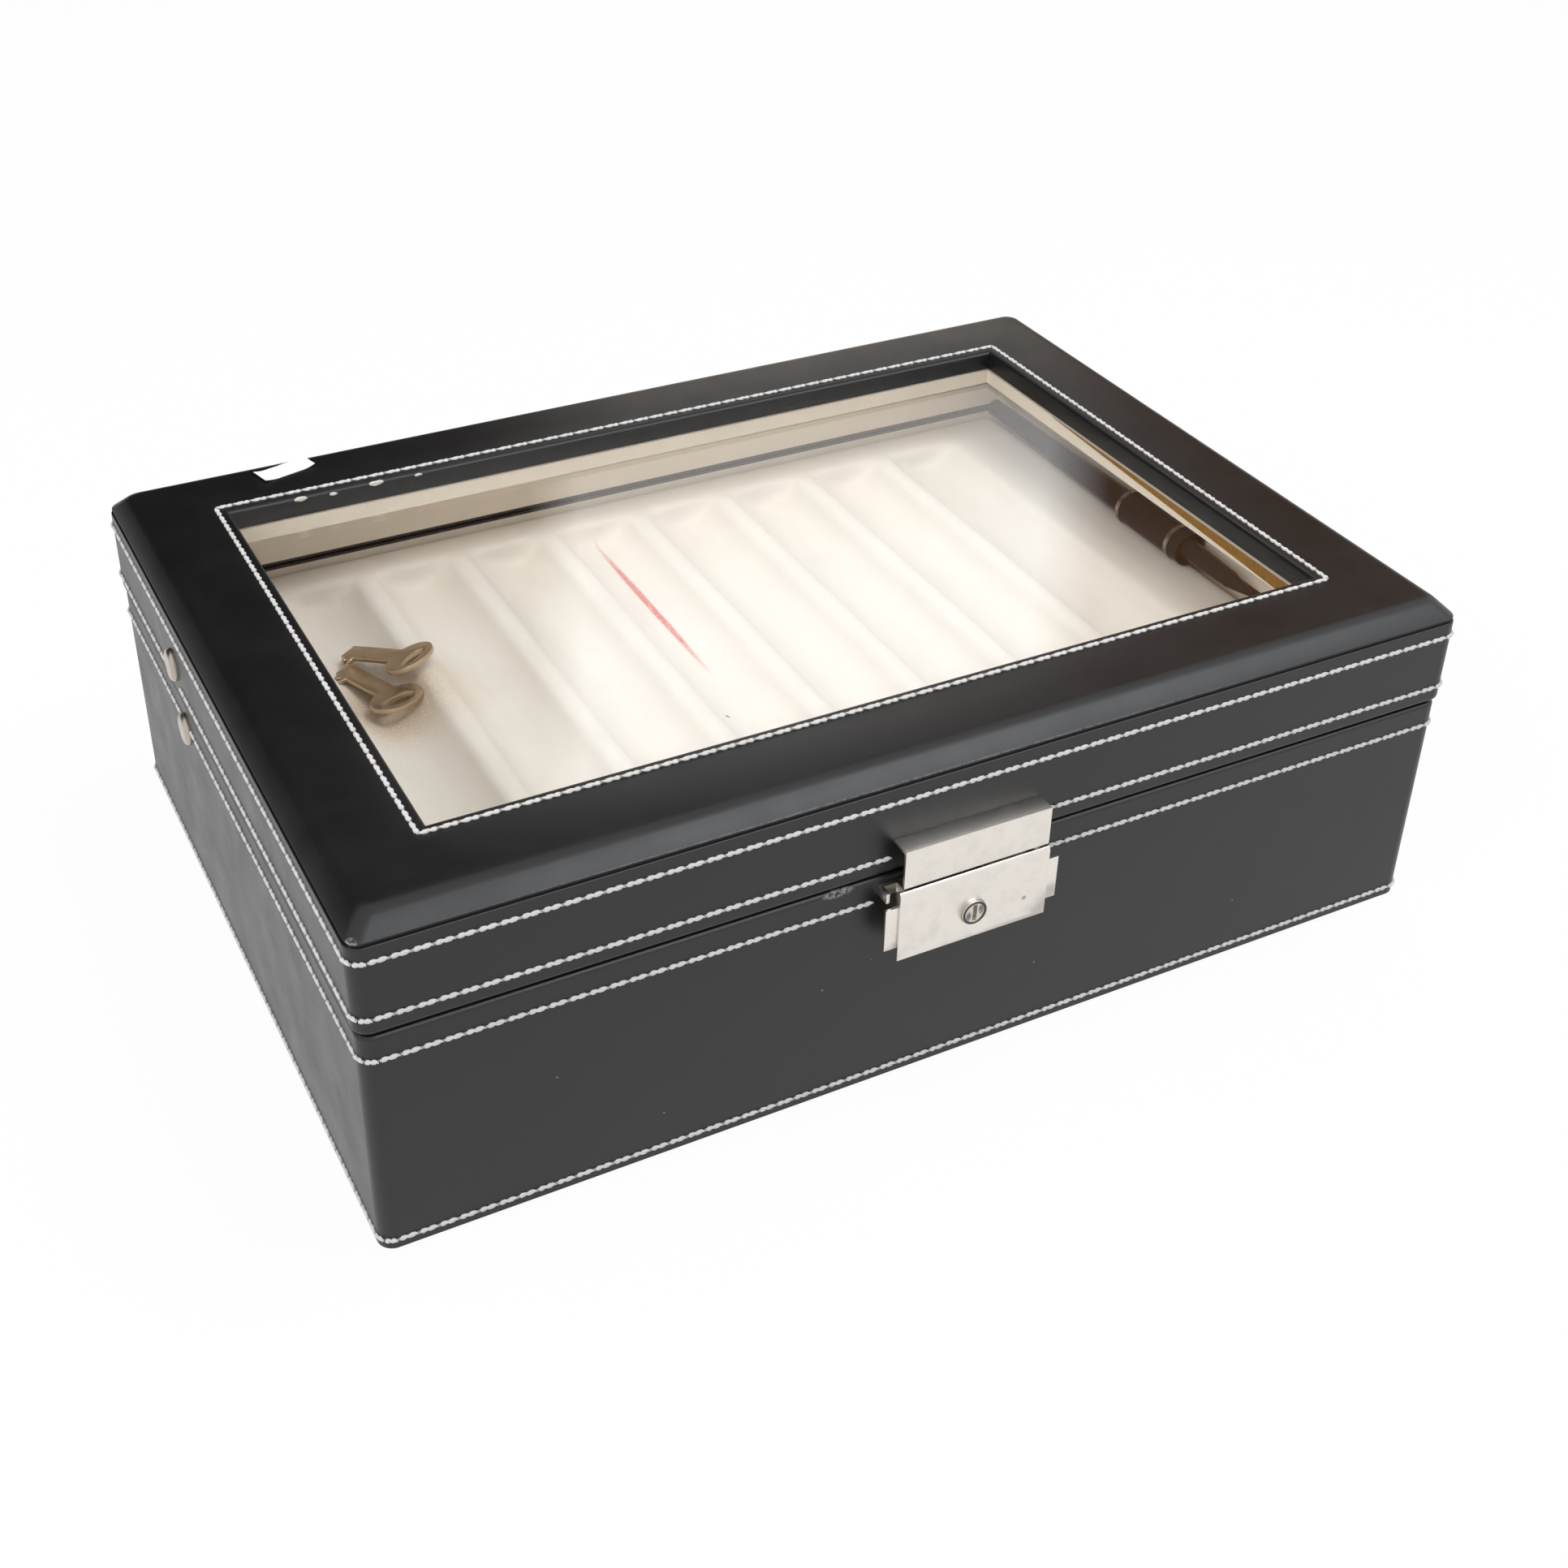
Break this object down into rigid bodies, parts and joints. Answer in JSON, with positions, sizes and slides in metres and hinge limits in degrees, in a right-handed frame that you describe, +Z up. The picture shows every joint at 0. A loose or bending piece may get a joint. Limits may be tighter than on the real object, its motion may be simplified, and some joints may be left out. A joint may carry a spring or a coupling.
{
  "type": "pen display case",
  "caption": "Black leather covered pen display case with white stitching, a bevelled glass topped lid, a nickel front lock and a beige suede tray of pen troughs.",
  "frame": {"origin": "centre of the flat underside, where the felt stands on the table", "axes": "+X to the right of the lock, +Y from the lock to the hinges, +Z up"},
  "size_m": [0.303, 0.2241, 0.0967],
  "materials": {
    "black_leather": "fine grain, semi matt",
    "fibreboard": "raw",
    "suede_lining": "short nap",
    "suede_pad": "short nap",
    "felt": "matt",
    "glass": "polished",
    "thread": "twisted",
    "nickel": "satin nickel",
    "steel": "zinc plated",
    "paper": "matt",
    "pen_lacquer": "gloss",
    "pen_chrome": "polished",
    "key_metal": "tarnished"
  },
  "bodies": {
    "base": {"base_front_board": "fibreboard", "base_back_board": "fibreboard", "base_left_board": "fibreboard", "base_right_board": "fibreboard", "base_bottom_board": "fibreboard", "base_leather_cover": "black_leather", "base_wall_lining": "suede_lining", "base_floor_pad": "suede_lining", "underside_felt": "felt", "tray_ledges": "suede_lining", "base_upper_stitching": "thread", "base_lower_stitching": "thread", "hinge_base_leaves": "nickel", "hinge_base_screws": "steel", "hinge_pins": "steel", "lock_case": "nickel", "lock_ear_plate": "nickel", "lock_front_plate": "nickel", "lock_screws": "steel", "stay_base_rivet": "nickel"},
    "lock_barrel_body": {"lock_barrel": "nickel"},
    "lock_bolt_body": {"lock_bolt": "steel"},
    "stay_lower": {"stay_lower_link": "nickel"},
    "lid": {"lid_front_board": "fibreboard", "lid_back_board": "fibreboard", "lid_left_board": "fibreboard", "lid_right_board": "fibreboard", "glazing_front_rail": "fibreboard", "glazing_back_rail": "fibreboard", "glazing_left_rail": "fibreboard", "glazing_right_rail": "fibreboard", "bevelled_front_rail": "fibreboard", "bevelled_back_rail": "fibreboard", "bevelled_left_rail": "fibreboard", "bevelled_right_rail": "fibreboard", "lid_side_leather": "black_leather", "lid_top_leather": "black_leather", "lid_wall_lining": "suede_lining", "lid_ceiling_lining": "suede_lining", "window_glass": "glass", "window_stitching": "thread", "lid_upper_stitching": "thread", "lid_lower_stitching": "thread", "hinge_lid_leaves": "nickel", "hinge_lid_screws": "steel", "hasp_plate": "nickel", "hasp_tongue": "nickel", "hasp_screws": "steel", "stay_lid_rivet": "nickel", "blank_label": "paper"},
    "stay_upper": {"stay_upper_link": "nickel"},
    "tray": {"tray_board": "fibreboard", "tray_pad": "suede_pad"},
    "key_one_body": {"key_one": "key_metal"},
    "key_two_body": {"key_two": "key_metal"},
    "pen": {"pen_barrel": "pen_lacquer", "pen_sleeve": "pen_lacquer", "pen_rings": "pen_chrome", "pen_grip": "pen_lacquer"}
  },
  "joints": [
    {"name": "lid_hinge", "type": "hinge", "parent": "base", "child": "lid", "pos_m": [0, 0.109, 0.06595], "axis": [-1, 0, 0], "range_deg": [0, 95]},
    {"name": "stay_base_pivot", "type": "hinge", "parent": "base", "child": "stay_lower", "pos_m": [-0.13815, 0.0395, 0.0566], "axis": [-1, 0, 0], "range_deg": [0, 116.6]},
    {"name": "stay_lid_pivot", "type": "hinge", "parent": "lid", "child": "stay_upper", "pos_m": [-0.13685, 0.042, 0.0755], "axis": [1, 0, 0], "range_deg": [0, 129.8]},
    {"name": "key_barrel_turn", "type": "hinge", "parent": "base", "child": "lock_barrel_body", "pos_m": [0.0007, -0.109, 0.0515], "axis": [0, 1, 0], "range_deg": [0, 90]},
    {"name": "bolt_slide", "type": "slide", "parent": "base", "child": "lock_bolt_body", "axis": [1, 0, 0], "range_m": [0, 0.0045]},
    {"name": "tray_lift", "type": "slide", "parent": "base", "child": "tray", "axis": [0, 0, 1], "range_m": [0, 0.007]},
    {"name": "pen_lift", "type": "slide", "parent": "tray", "child": "pen", "axis": [0, 0, 1], "range_m": [0, 0.008]},
    {"name": "key_one_lift", "type": "slide", "parent": "tray", "child": "key_one_body", "axis": [0, 0, 1], "range_m": [0, 0.012]},
    {"name": "key_two_lift", "type": "slide", "parent": "tray", "child": "key_two_body", "axis": [0, 0, 1], "range_m": [0, 0.012]}
  ],
  "couplings": [
    {"joint": "stay_base_pivot", "follows": "lid_hinge", "ratio": 1.2271},
    {"joint": "stay_lid_pivot", "follows": "lid_hinge", "ratio": 1.3662},
    {"joint": "key_barrel_turn", "follows": "bolt_slide", "rad_per_m": 349}
  ]
}
